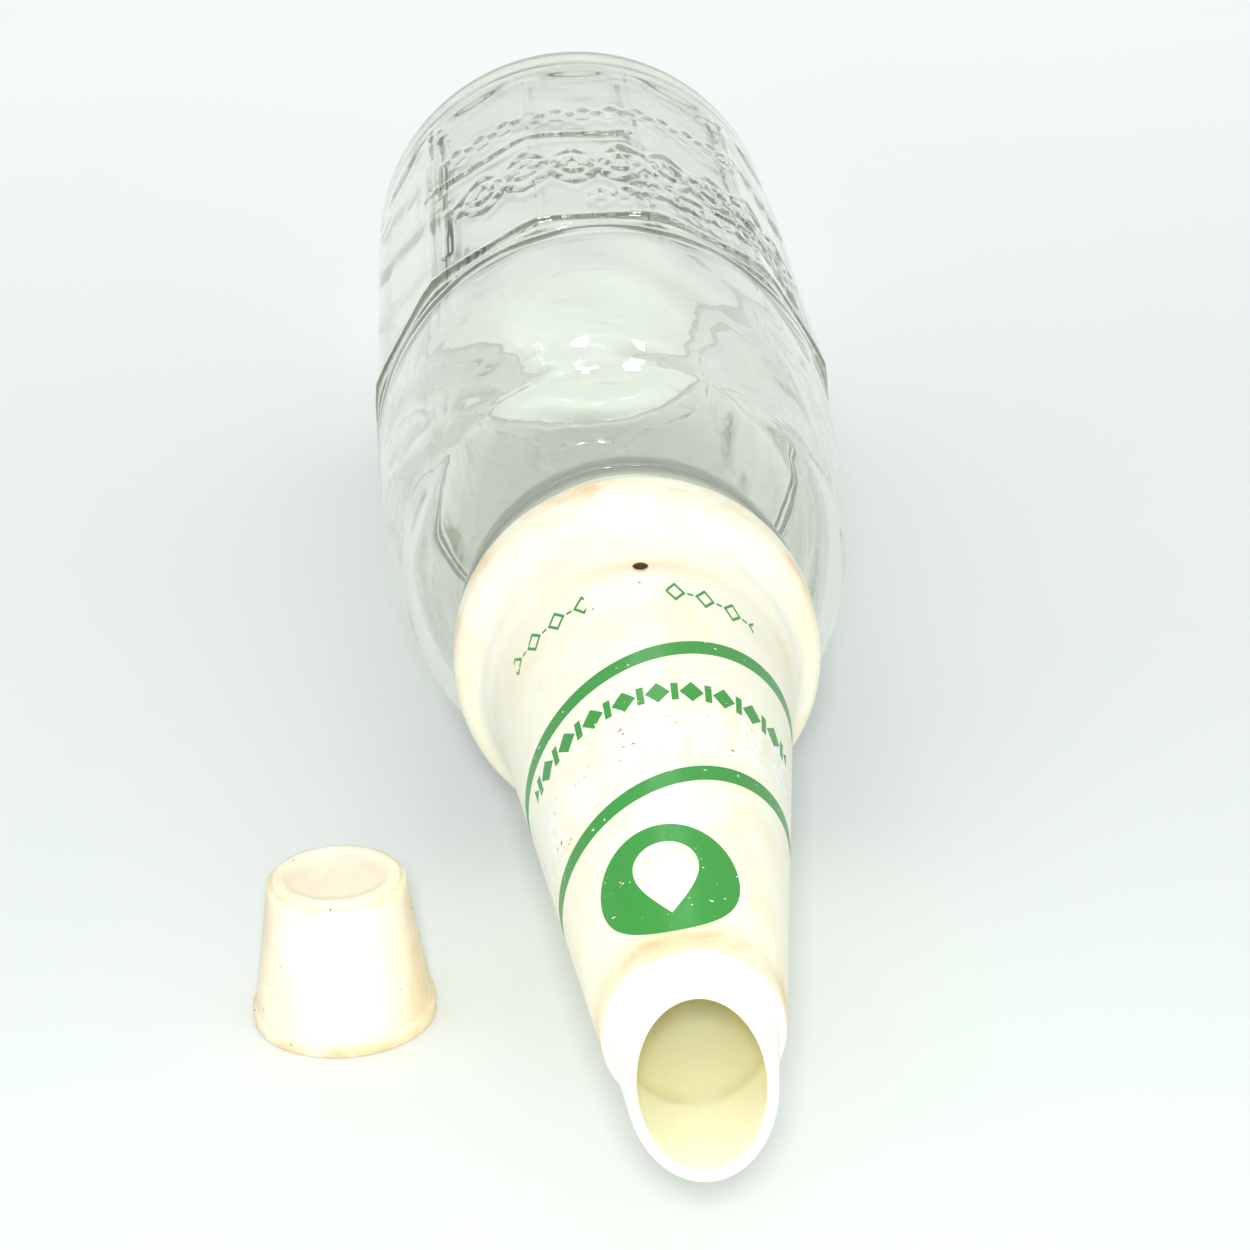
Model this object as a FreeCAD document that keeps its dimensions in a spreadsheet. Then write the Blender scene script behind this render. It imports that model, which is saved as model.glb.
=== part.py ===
import FreeCAD, Part
import math
import os
import Sketcher
from FreeCAD import Vector

# A quart oil bottle of moulded glass that lies on its side, with its screw-on plastic pourer in place
# and the pourer's push-on cap standing beside it. Millimetres. Every sub-part but the cap is drawn round
# the bottle's axis, which is Y, from the glass mouth at Y = 0: glass towards +Y and pourer towards -Y.

DIMENSIONS = {
    # glass, along the axis from the mouth
    "bead_start": 19.5, "bead_end": 25.0, "dome_start": 29.0, "dome_joint": 46.5, "ring_start": 118.5,
    "facet_start": 122.5, "facet_end": 226.5, "heel_start": 247.5, "base_end": 256.5,
    # glass, out from the axis
    "ring_radius": 45.4, "ridge_radius": 46.5, "joint_radius": 39.8, "dome_foot": 28.6,
    "neck_radius": 23.6, "thread_crest": 24.9, "mouth_radius": 19.5, "facet_count": 12,
    "dome_arc": 466.0, "collar_arc": 27.9, "base_ring": 34.0, "push_up": 5.0, "push_up_arc": 118.0,
    "bead_arc": 3.0, "lip_round": 1.2, "throat_arc": 16.0, "facet_tool_half": 16.0, "facet_tool_proud": 5.0,
    # glass wall
    "wall": 3.8, "floor_thickness": 8.0, "inner_corner": 9.0,
    "inner_joint_y": 48.5, "inner_joint": 36.1, "inner_foot_y": 33.0, "inner_foot": 25.4,
    # thread
    "pitch": 5.0, "ridge_width": 2.2, "ridge_crest": 1.1, "thread_sink": 0.3,
    "neck_thread_start": 3.5, "neck_thread_rise": 8.0, "skirt_thread_rise": 10.0,
    # pourer
    "skirt_edge": 15.5, "skirt_top": 8.5, "skirt_radius": 31.2, "skirt_round": 1.6, "flare_y": 1.5,
    "flare_radius": 28.6, "flare_arc": 19.7, "crown_arc": 10.7, "cone_top": 9.5, "cone_radius": 24.7,
    "skirt_bore": 25.6, "skirt_crest": 24.4, "pourer_wall": 2.2, "tip_wall": 1.6,
    "seat_y": 118.5, "seat_radius": 12.6, "seat_step": 0.7, "nose_y": 145.0, "nose_radius": 8.9,
    "cut_high": 126.5, "cut_low": 141.5, "cut_reach": 20.0, "cut_width": 60.0, "lip_end": 141.0,
    "vent_radius": 1.1,
    # sealing washer
    "washer_thickness": 2.0, "washer_outer": 24.0, "washer_inner": 20.4,
    # cap, standing rim down
    "cap_height": 25.7, "cap_rim": 15.1, "cap_collar": 3.2, "cap_step": 0.5, "cap_crown": 11.3,
    "cap_round": 0.8, "cap_bore": 12.3, "cap_bore_top": 9.9, "cap_roof": 1.7,
    "cap_away": 51.8, "cap_back": 26.8,
}

doc = FreeCAD.newDocument("oil_bottle")
sheet = doc.addObject("Spreadsheet::Sheet", "dims")
for row, (alias, number) in enumerate(DIMENSIONS.items(), start=1):
    sheet.set(f"A{row}", alias)
    sheet.set(f"B{row}", str(number))
    sheet.setAlias(f"B{row}", alias)
doc.recompute()


class Size:
    """A length that knows both its number and the sheet expression that gives it."""

    def __init__(self, value, text):
        self.value = float(value)
        self.text = text

    def _with(self, other, sign):
        other = other if isinstance(other, Size) else Size(other, str(other))
        number = {"+": self.value + other.value, "-": self.value - other.value,
                  "*": self.value * other.value, "/": self.value / (other.value or 1)}[sign]
        return Size(number, f"({self.text} {sign} {other.text})")

    def __add__(self, other):
        return self._with(other, "+")

    def __sub__(self, other):
        return self._with(other, "-")

    def __mul__(self, other):
        return self._with(other, "*")

    def __truediv__(self, other):
        return self._with(other, "/")

    def __neg__(self):
        return Size(-self.value, f"(-{self.text})")


def dim(alias):
    return Size(sheet.get(alias), f"dims.{alias}")


zero = Size(0, "0")
half_turn = math.radians(180 / dim("facet_count").value)
apothem = Size(dim("ridge_radius").value * math.cos(half_turn),
               "(dims.ridge_radius * cos(180 deg / dims.facet_count))")
cut_mid = (dim("cut_high") + dim("cut_low")) / 2


def new_body(name):
    body = doc.addObject("PartDesign::Body", name)
    body.Label = name
    return body


def origin_plane(body, role):
    return next(feature for feature in body.Origin.OriginFeatures if feature.Role == role)


def new_sketch(body, name, plane="XY_Plane"):
    sketch = body.newObject("Sketcher::SketchObject", name)
    sketch.AttachmentSupport = [(origin_plane(body, plane), "")]
    sketch.MapMode = "FlatFace"
    return sketch


def arc_through(start, end, radius):
    """The shorter arc from start to end, which bulges to the left of that way if its radius is positive."""
    chord = end - start
    left = Vector(-chord.y, chord.x, 0).normalize()
    bulge = abs(radius) - (radius ** 2 - (chord.Length / 2) ** 2) ** 0.5
    middle = start + chord / 2 + left * (bulge if radius > 0 else -bulge)
    return Part.Arc(start, middle, end)


def pin_point(sketch, index, end, point):
    """Holds one end of a sketch line at its two sizes. A zero size keeps it on the axis."""
    for kind, size, axis in (("DistanceX", point[0], -2), ("DistanceY", point[1], -1)):
        if size.text == "0":
            sketch.addConstraint(Sketcher.Constraint("PointOnObject", index, end, axis))
        else:
            at = sketch.addConstraint(Sketcher.Constraint(kind, -1, 1, index, end, size.value))
            sketch.setExpression(f"Constraints[{at}]", size.text)


def draw_outline(sketch, points):
    """A closed outline of (x, y) or (x, y, radius) entries: a radius bends the stretch that ends there."""
    count = len(points)
    for index in range(count):
        start, end = points[index - 1], points[index]
        first = Vector(start[0].value, start[1].value, 0)
        last = Vector(end[0].value, end[1].value, 0)
        if len(end) == 3:
            curve = arc_through(first, last, end[2].value)
            sketch.addGeometry(curve, False)
        else:
            sketch.addGeometry(Part.LineSegment(first, last), False)
    # an arc of a sketch runs anticlockwise, so its two ends can come in either order
    ends = []
    for index in range(count):
        first = Vector(points[index - 1][0].value, points[index - 1][1].value, 0)
        turned = sketch.getPoint(index, 1).distanceToPoint(first) > 1e-6
        ends.append((2, 1) if turned else (1, 2))
    for index in range(count):
        pin_point(sketch, index, ends[index][1], points[index])
        after = (index + 1) % count
        sketch.addConstraint(
            Sketcher.Constraint("Coincident", index, ends[index][1], after, ends[after][0]))
        if len(points[index]) == 3:
            radius = points[index][2]
            size = Size(abs(radius.value), radius.text if radius.value > 0 else f"(-1 * {radius.text})")
            at = sketch.addConstraint(Sketcher.Constraint("Radius", index, size.value))
            sketch.setExpression(f"Constraints[{at}]", size.text)


def revolve(body, name, points, plane="XY_Plane"):
    """Turns an outline of (radius, height) points a full turn about the sketch's upright axis."""
    sketch = new_sketch(body, f"{name}_outline", plane)
    draw_outline(sketch, points)
    turn = body.newObject("PartDesign::Revolution", name)
    turn.Profile = sketch
    turn.ReferenceAxis = (sketch, ["V_Axis"])
    turn.Angle = 360
    return turn


def pocket_through(body, name, sketch, length, both_ways):
    """Cuts sketch through the body and makes sure that the cut took something away."""
    doc.recompute()
    before = body.Shape.Volume
    pocket = body.newObject("PartDesign::Pocket", name)
    pocket.Profile = sketch
    pocket.Midplane = both_ways
    pocket.setExpression("Length", length.text)
    for way in (False, True):
        pocket.Reversed = way
        doc.recompute()
        if body.Shape.Volume < before - 0.5:
            return pocket
    raise RuntimeError(f"{name} cuts nothing")


def add_thread(body, name, start, root, crest, rise):
    """One raised right-hand thread ridge. Its foot sits a little inside the wall that it stands on."""
    sink = dim("thread_sink") if crest.value > root.value else -dim("thread_sink")
    half, half_crest = dim("ridge_width") / 2, dim("ridge_crest") / 2
    sketch = new_sketch(body, f"{name}_section")
    draw_outline(sketch, [
        (root - sink, start - half),
        (crest, start - half_crest),
        (crest, start + half_crest),
        (root - sink, start + half),
    ])
    ridge = body.newObject("PartDesign::AdditiveHelix", name)
    ridge.Profile = sketch
    ridge.ReferenceAxis = (sketch, ["V_Axis"])
    ridge.Mode = 0
    ridge.setExpression("Pitch", "dims.pitch")
    ridge.setExpression("Height", rise.text)
    ridge.Angle = 0
    ridge.LeftHanded = False
    return ridge


def glass_bottle():
    """The moulded glass: push-up base, round heel, twelve facets, domed shoulder, bead and threaded neck."""
    body = new_body("glass_bottle")
    ring, ridge, wall = dim("ring_radius"), dim("ridge_radius"), dim("wall")
    base, heel_fillet = dim("base_end"), dim("base_end") - dim("heel_start")
    floor = base - dim("floor_thickness")
    slope = ridge - ring
    bore, inner, lip = dim("mouth_radius"), ring - wall, dim("lip_round")
    revolve(body, "shell", [
        (zero, floor),
        (zero, base - dim("push_up")),
        (dim("base_ring"), base, -dim("push_up_arc")),
        (ring - heel_fillet, base),
        (ring, dim("heel_start"), heel_fillet),
        (ring, dim("facet_end") + slope),
        (ridge, dim("facet_end")),
        (ridge, dim("facet_start")),
        (ring, dim("facet_start") - slope),
        (ring, dim("ring_start")),
        (dim("joint_radius"), dim("dome_joint"), dim("dome_arc")),
        (dim("dome_foot"), dim("dome_start"), dim("collar_arc")),
        (dim("dome_foot"), dim("bead_end")),
        (dim("dome_foot"), dim("bead_start"), dim("bead_arc")),
        (dim("neck_radius"), dim("bead_start")),
        (dim("neck_radius"), lip),
        (dim("neck_radius") - lip, zero, lip),
        (bore + lip, zero),
        (bore, lip, lip),
        (bore, dim("bead_start")),
        (dim("inner_foot"), dim("inner_foot_y"), dim("throat_arc")),
        (dim("inner_joint"), dim("inner_joint_y"), wall - dim("collar_arc")),
        (inner, dim("ring_start"), wall - dim("dome_arc")),
        (inner, floor - dim("inner_corner")),
        (inner - dim("inner_corner"), floor, -dim("inner_corner")),
    ])
    facet = new_sketch(body, "facet_section", "XZ_Plane")
    facet.setExpression("AttachmentOffset.Base.z", "-(dims.facet_start + dims.facet_end) / 2")
    half, proud = dim("facet_tool_half"), ridge + dim("facet_tool_proud")
    draw_outline(facet, [(-half, apothem), (half, apothem), (half, proud), (-half, proud)])
    length = dim("facet_end") - dim("facet_start") + slope * 2
    pocket = pocket_through(body, "facet", facet, length, True)
    around = body.newObject("PartDesign::PolarPattern", "facets")
    around.Originals = [pocket]
    around.Axis = (origin_plane(body, "Y_Axis"), [""])
    around.Angle = 360
    around.setExpression("Occurrences", "dims.facet_count")
    body.Tip = around
    add_thread(body, "neck_thread", dim("neck_thread_start"), dim("neck_radius"), dim("thread_crest"),
               dim("neck_thread_rise"))
    return body


def pourer():
    """The one-piece moulded pourer: threaded skirt, flared flange, long cone, cap seat and slanted spout."""
    body = new_body("pourer")
    skirt, wall, edge = dim("skirt_radius"), dim("pourer_wall"), dim("skirt_edge")
    seat, nose, round_off = dim("seat_radius"), dim("nose_radius"), dim("skirt_round")
    ledge = -dim("washer_thickness")
    revolve(body, "shell", [
        (skirt - round_off, edge),
        (skirt, edge - round_off, round_off),
        (skirt, dim("skirt_top")),
        (dim("flare_radius"), dim("flare_y"), dim("crown_arc")),
        (dim("cone_radius"), -dim("cone_top"), -dim("flare_arc")),
        (seat, -dim("seat_y")),
        (seat - dim("seat_step"), -dim("seat_y")),
        (nose, -dim("nose_y")),
        (nose - dim("tip_wall"), -dim("nose_y")),
        (seat - wall, -dim("seat_y")),
        (dim("cone_radius") - wall, -dim("cone_top")),
        (dim("cone_radius") - wall, ledge),
        (dim("skirt_bore"), ledge),
        (dim("skirt_bore"), edge),
    ])
    slant = new_sketch(body, "spout_cut", "YZ_Plane")
    reach = dim("cut_reach")
    slope = dim("cut_low") - dim("cut_high")
    far = -(dim("nose_y") + reach)
    draw_outline(slant, [
        (-(cut_mid - slope), reach),
        (far, reach),
        (far, -reach),
        (-(cut_mid + slope), -reach),
    ])
    pocket_through(body, "spout", slant, dim("cut_width"), True)
    vent = new_sketch(body, "vent_circle")
    vent.addGeometry(Part.Circle(Vector(0, -dim("cone_top").value, 0), Vector(0, 0, 1), 1), False)
    vent.addConstraint(Sketcher.Constraint("PointOnObject", 0, 3, -2))
    down = vent.addConstraint(Sketcher.Constraint("DistanceY", 0, 3, -1, 1, dim("cone_top").value))
    vent.setExpression(f"Constraints[{down}]", "dims.cone_top")
    across = vent.addConstraint(Sketcher.Constraint("Radius", 0, dim("vent_radius").value))
    vent.setExpression(f"Constraints[{across}]", "dims.vent_radius")
    hole = pocket_through(body, "vent", vent, skirt, False)
    # the vent is on the upper side only, over the spout's short side
    hole.Reversed = True
    body.Tip = hole
    # half a pitch out of step with the neck's ridge, so each ridge runs in the other's groove
    start = dim("neck_thread_start") - dim("pitch") / 2
    add_thread(body, "skirt_thread", start, dim("skirt_bore"), dim("skirt_crest"), dim("skirt_thread_rise"))
    return body


def sealing_washer():
    """The flat ring that the pourer squeezes on to the glass mouth."""
    body = new_body("sealing_washer")
    outer, inner, thick = dim("washer_outer"), dim("washer_inner"), dim("washer_thickness")
    revolve(body, "ring", [(inner, zero), (inner, -thick), (outer, -thick), (outer, zero)])
    return body


def cap():
    """The push-on cap: a tapered cup with a thin collar at its rim, drawn upright on its own axis."""
    body = new_body("cap")
    rim, collar, crown, top = dim("cap_rim"), dim("cap_collar"), dim("cap_crown"), dim("cap_height")
    corner = dim("cap_round")
    revolve(body, "cup", [
        (rim, zero),
        (rim, collar),
        (rim - dim("cap_step"), collar),
        (crown, top - corner),
        (crown - corner, top, -corner),
        (zero, top),
        (zero, top - dim("cap_roof")),
        (dim("cap_bore_top"), top - dim("cap_roof")),
        (dim("cap_bore"), zero),
    ], "XZ_Plane")
    return body


def place_all(parts):
    """Lays the bottle on its two rings, with the whole box centred over the origin."""
    ring, away = dim("ring_radius"), dim("cap_away")
    axis_x = (away + dim("cap_rim") - ring) / 2
    shift = (dim("base_end") - dim("lip_end")) / 2
    for part in parts:
        cap_like = part.Label == "cap"
        spots = (
            axis_x - away if cap_like else axis_x,
            -(shift + dim("cap_back")) if cap_like else -shift,
            zero if cap_like else ring,
        )
        for letter, size in zip("xyz", spots):
            part.setExpression(f"Placement.Base.{letter}", size.text)


parts = [glass_bottle(), pourer(), sealing_washer(), cap()]
place_all(parts)
doc.recompute()

for thing in doc.Objects:
    if "Invalid" in thing.State or "Error" in thing.State:
        raise RuntimeError(f"{thing.Name} failed: {thing.State}")
os.makedirs("parts", exist_ok=True)
for part in parts:
    if part.Shape.isNull() or not part.Shape.isValid() or len(part.Shape.Solids) != 1:
        raise RuntimeError(f"{part.Label} isn't one valid solid")
for part in parts:
    part.Shape.exportStep(f"parts/{part.Label}.step")
    box = part.Shape.optimalBoundingBox(True, False)
    print(part.Label, round(part.Shape.Volume / 1000, 1), "cm3", [round(v, 2) for v in (
        box.XMin, box.XMax, box.YMin, box.YMax, box.ZMin, box.ZMax)])
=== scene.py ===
import math
import bmesh
import bpy
import numpy as np
from mathutils import Euler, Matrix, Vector


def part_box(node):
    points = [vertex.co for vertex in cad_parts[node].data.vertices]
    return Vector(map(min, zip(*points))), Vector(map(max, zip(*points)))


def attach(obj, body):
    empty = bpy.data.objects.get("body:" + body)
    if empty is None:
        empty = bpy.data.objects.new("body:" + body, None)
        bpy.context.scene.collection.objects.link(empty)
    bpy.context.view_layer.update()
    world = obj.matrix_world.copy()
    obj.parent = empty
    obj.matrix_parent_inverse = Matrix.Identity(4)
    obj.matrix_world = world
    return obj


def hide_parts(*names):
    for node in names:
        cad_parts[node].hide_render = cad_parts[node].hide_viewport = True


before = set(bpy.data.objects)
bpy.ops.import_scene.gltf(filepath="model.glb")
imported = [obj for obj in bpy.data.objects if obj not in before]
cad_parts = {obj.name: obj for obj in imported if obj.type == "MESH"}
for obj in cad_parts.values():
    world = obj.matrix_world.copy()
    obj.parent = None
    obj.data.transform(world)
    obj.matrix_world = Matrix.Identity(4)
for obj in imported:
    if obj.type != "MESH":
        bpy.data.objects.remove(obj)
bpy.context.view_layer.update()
mm = 0.001

# The bottle's axis and the glass mouth, from the frame. Sizes below are millimetres from that
# mouth: + towards the base, - towards the spout.
glassLow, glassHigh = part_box("glass_bottle")
pourerLow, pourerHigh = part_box("pourer")
capLow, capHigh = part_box("cap")
axis = Vector(((glassLow.x + glassHigh.x) / 2, glassLow.y, (glassLow.z + glassHigh.z) / 2))
capAxis = Vector(((capLow.x + capHigh.x) / 2, (capLow.y + capHigh.y) / 2, capLow.z))
baseEnd = (glassHigh.y - axis.y) / mm
skirtEnd = (pourerHigh.y - axis.y) / mm
ringRadius = axis.z / mm


def arcBetween(start, end, radius, gap):
    # points of the shorter arc, which bulges to the left of the way when radius is positive
    a, b = np.array(start, float), np.array(end, float)
    chord = b - a
    length = np.hypot(*chord)
    left = np.array([-chord[1], chord[0]]) / length
    side = math.copysign(1, radius)
    centre = (a + b) / 2 - left * side * math.sqrt(radius ** 2 - length ** 2 / 4)
    first = math.atan2(*(a - centre)[::-1])
    last = math.atan2(*(b - centre)[::-1])
    turn = (last - first + math.pi) % (2 * math.pi) - math.pi
    count = max(2, round(abs(turn * radius) / gap))
    angles = first + turn * np.arange(1, count + 1) / count
    return [tuple(centre + abs(radius) * np.array([math.cos(t), math.sin(t)])) for t in angles]


def outline(entries, gap):
    # entries are (radius, along), then an arc radius or 0 and the spacing of points if it isn't gap
    points = [entries[0][:2]]
    for entry in entries[1:]:
        start, end = np.array(points[-1], float), np.array(entry[:2], float)
        step = entry[3] if len(entry) > 3 else gap
        if len(entry) > 2 and entry[2]:
            points += arcBetween(start, end, entry[2], step)
        else:
            count = max(1, round(np.hypot(*(end - start)) / step))
            points += [tuple(start + (end - start) * i / count) for i in range(1, count + 1)]
    return np.array(points)


def skin(name, radius, along, angles, centre, upright=False, closed=True):
    # rows of points round the axis, angle 0 at the top and 90 at +X; a row at radius 0 is one pole
    rows, columns = radius.shape
    across, deep = radius * np.sin(angles), radius * np.cos(angles)
    flat = np.stack([across, deep, along] if upright else [across, along, deep], -1)
    points = flat.reshape(-1, 3) * mm + np.array(centre)
    here = np.arange(rows * columns).reshape(rows, columns)
    after = np.roll(here, -1, axis=1)
    stop = rows if closed else rows - 1
    corners = [here, after, np.roll(after, -1, axis=0), np.roll(here, -1, axis=0)]
    quads = np.stack([corner[:stop] for corner in corners], -1).reshape(-1, 4)
    mesh = bpy.data.meshes.new(name)
    mesh.from_pydata(points.tolist(), [], quads.tolist())
    work = bmesh.new()
    work.from_mesh(mesh)
    bmesh.ops.remove_doubles(work, verts=work.verts, dist=1e-7)
    bmesh.ops.recalc_face_normals(work, faces=work.faces)
    for face in work.faces:
        face.smooth = True
    work.to_mesh(mesh)
    work.free()
    piece = bpy.data.objects.new(name, mesh)
    bpy.context.scene.collection.objects.link(piece)
    return piece


def roundAngles(count):
    return (np.arange(count) * 2 * math.pi / count)[None, :]


def easeBetween(low, high, value):
    t = np.clip((value - low) / (high - low), 0, 1)
    return t * t * (3 - 2 * t)


def screwRidge(along, angles, thread):
    # height of a helical ridge that starts at +X and climbs to the right
    turn = (angles - math.pi / 2) / (2 * math.pi) % 1.0
    height = np.zeros(np.broadcast(along, turn).shape)
    for lap in range(math.ceil(thread["turns"])):
        middle = thread["start"] + thread["pitch"] * (turn + lap)
        run = np.clip(1 - np.abs(along - middle) / (thread["width"] / 2), 0, 1)
        # the crest is flat, and each end runs out in a ninth of a turn
        lead = np.clip(np.minimum(turn + lap, thread["turns"] - turn - lap) * 9, 0, 1)
        height = np.maximum(height, np.clip(run * 1.8, 0, 1) * lead)
    return thread["height"] * height


def waves(along, angles, seed, longest):
    # slow unevenness of pressed glass, between about -1 and 1
    random = np.random.default_rng(seed)
    total = np.zeros(np.broadcast(along, angles).shape)
    for lobes in (2, 3, 4, 5, 7, 9, 11):
        phase, drift = random.uniform(0, 6.28, 2)
        ripple = np.cos(along / longest * 6.28 * random.uniform(0.6, 1.6) + drift)
        twist = along / longest * lobes * 1.1
        total = total + np.sin(lobes * angles + phase + twist + drift) * ripple
    return total / 4.2  # brings the sum of seven lobes to about 1


def bakeModifiers(piece):
    # turns the finished result into a plain mesh
    ready = piece.evaluated_get(bpy.context.evaluated_depsgraph_get())
    mesh = bpy.data.meshes.new_from_object(ready)
    piece.modifiers.clear()
    piece.data = mesh


def linear(hexColour):
    parts = [int(hexColour[i:i + 2], 16) / 255 for i in (1, 3, 5)]
    return [c / 12.92 if c <= 0.04045 else ((c + 0.055) / 1.055) ** 2.4 for c in parts] + [1.0]


def addNode(tree, kind, settings=None, inputs=None):
    node = tree.nodes.new(kind)
    for name, value in (settings or {}).items():
        setattr(node, name, value)
    for name, value in (inputs or {}).items():
        if isinstance(value, bpy.types.NodeSocket):
            tree.links.new(value, node.inputs[name])
        else:
            node.inputs[name].default_value = value
    return node


def newMaterial(name):
    material = bpy.data.materials.new(name)
    material.use_nodes = True
    material.node_tree.nodes.clear()
    return material, material.node_tree


def addSteps(tree, made, steps):
    # each step is a name, a maths operation and its values; a value is a number or an earlier name
    for name, operation, *values in steps:
        inputs = {i: made[v] if isinstance(v, str) else v for i, v in enumerate(values)}
        made[name] = addNode(tree, "ShaderNodeMath", {"operation": operation}, inputs).outputs[0]


def addLayers(tree, made, colour, layers):
    # paints each colour over the last by its mask
    for mask, over in layers:
        mixed = addNode(tree, "ShaderNodeMix", {"data_type": "RGBA"}, {
            "Factor": made[mask], "A": colour, "B": linear(over)})
        colour = mixed.outputs["Result"]
    return colour


room = {
    "half": 8.0, "bounces": 40,
    # the paper's colours near and far, darker near and lighter far off as painted shade and light,
    # between which places along Y they change, and its mottling
    "floor": ("#CAD1CF", "#FBFFFE"), "paintedFalloff": (-0.4, 0.6), "mottlesPerMetre": 7.0, "mottle": 0.1,
    "sky": "#F8FBFA", "skyPower": 0.82,
    # name, place, size and power of each lamp
    "lamps": (
        ("overhead", (0.0, 0.95, 1.4), 2.0, 1.8),
        ("frontLeft", (-0.3, -1.35, 0.52), 0.18, 0.6),
        ("frontRight", (0.24, -1.35, 0.56), 0.18, 0.6),
        ("besideLens", (-0.02, -0.66, 0.35), 0.06, 3.7),
        ("sparkLeft", (-0.1, 1.0, 0.95), 0.07, 0.4),
        ("sparkRight", (0.14, 1.05, 1.0), 0.07, 0.4),
    ),
    # the camera stands that many millimetres from the glass mouth
    "lens": 100.8, "sensor": 36.0, "cameraPlace": (-26.4, -534.6, 242.3),
    "heading": (0.0412, 0.9165, -0.3978), "roll": 1.8,
}


def makeRoom():
    scene = bpy.context.scene
    scene.view_settings.view_transform = "Standard"
    # light bounces many times inside the glass wall
    for limit in ("glossy_bounces", "transmission_bounces", "max_bounces"):
        setattr(scene.cycles, limit, room["bounces"])
    half = room["half"]
    corners = [(-half, -half, 0), (half, -half, 0), (half, half, 0), (-half, half, 0)]
    mesh = bpy.data.meshes.new("floor")
    mesh.from_pydata(corners, [], [(0, 1, 2, 3)])
    floor = bpy.data.objects.new("floor", mesh)
    scene.collection.objects.link(floor)
    material, tree = newMaterial("palePaperWithPaintedFalloff")
    place = addNode(tree, "ShaderNodeTexCoord")
    apart = addNode(tree, "ShaderNodeSeparateXYZ", {}, {0: place.outputs["Object"]})
    fibres = addNode(tree, "ShaderNodeTexNoise", {}, {
        "Vector": place.outputs["Object"], "Scale": room["mottlesPerMetre"], "Detail": 3.0})
    mottle = addNode(tree, "ShaderNodeMath", {"operation": "MULTIPLY_ADD"}, {
        0: fibres.outputs["Fac"], 1: room["mottle"], 2: apart.outputs[1]})
    # painted shade and light: the floor is coloured darker near the camera and lighter far off
    paintedFalloff = addNode(tree, "ShaderNodeMapRange", {}, {
        "Value": mottle.outputs[0], "From Min": room["paintedFalloff"][0], "From Max": room["paintedFalloff"][1]})
    near, far = room["floor"]
    shade = addNode(tree, "ShaderNodeMix", {"data_type": "RGBA"}, {
        "Factor": paintedFalloff.outputs["Result"], "A": linear(near), "B": linear(far)})
    body = addNode(tree, "ShaderNodeBsdfPrincipled", {}, {
        "Base Color": shade.outputs["Result"], "Roughness": 0.9, "Specular IOR Level": 0.2})
    addNode(tree, "ShaderNodeOutputMaterial", {}, {"Surface": body.outputs[0]})
    mesh.materials.append(material)
    world = bpy.data.worlds.new("room")
    scene.world = world
    world.use_nodes = True
    sky = world.node_tree.nodes["Background"]
    sky.inputs["Color"].default_value = linear(room["sky"])
    sky.inputs["Strength"].default_value = room["skyPower"]
    for name, spot, size, power in room["lamps"]:
        lamp = bpy.data.lights.new(name, "AREA")
        lamp.size = size
        lamp.energy = power
        lampObject = bpy.data.objects.new(name, lamp)
        lampObject.location = spot
        toBottle = axis - Vector(spot)
        lampObject.rotation_euler = toBottle.to_track_quat("-Z", "Y").to_euler()
        scene.collection.objects.link(lampObject)
    lens = bpy.data.cameras.new("camera")
    lens.lens = room["lens"]
    lens.sensor_width = room["sensor"]
    camera = bpy.data.objects.new("camera", lens)
    camera.location = axis + Vector(room["cameraPlace"]) * mm
    turn = Vector(room["heading"]).to_track_quat("-Z", "Y").to_matrix()
    roll = Euler((0, 0, math.radians(-room["roll"]))).to_matrix()
    camera.rotation_euler = (turn @ roll).to_euler()
    scene.collection.objects.link(camera)
    scene.camera = camera


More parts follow.
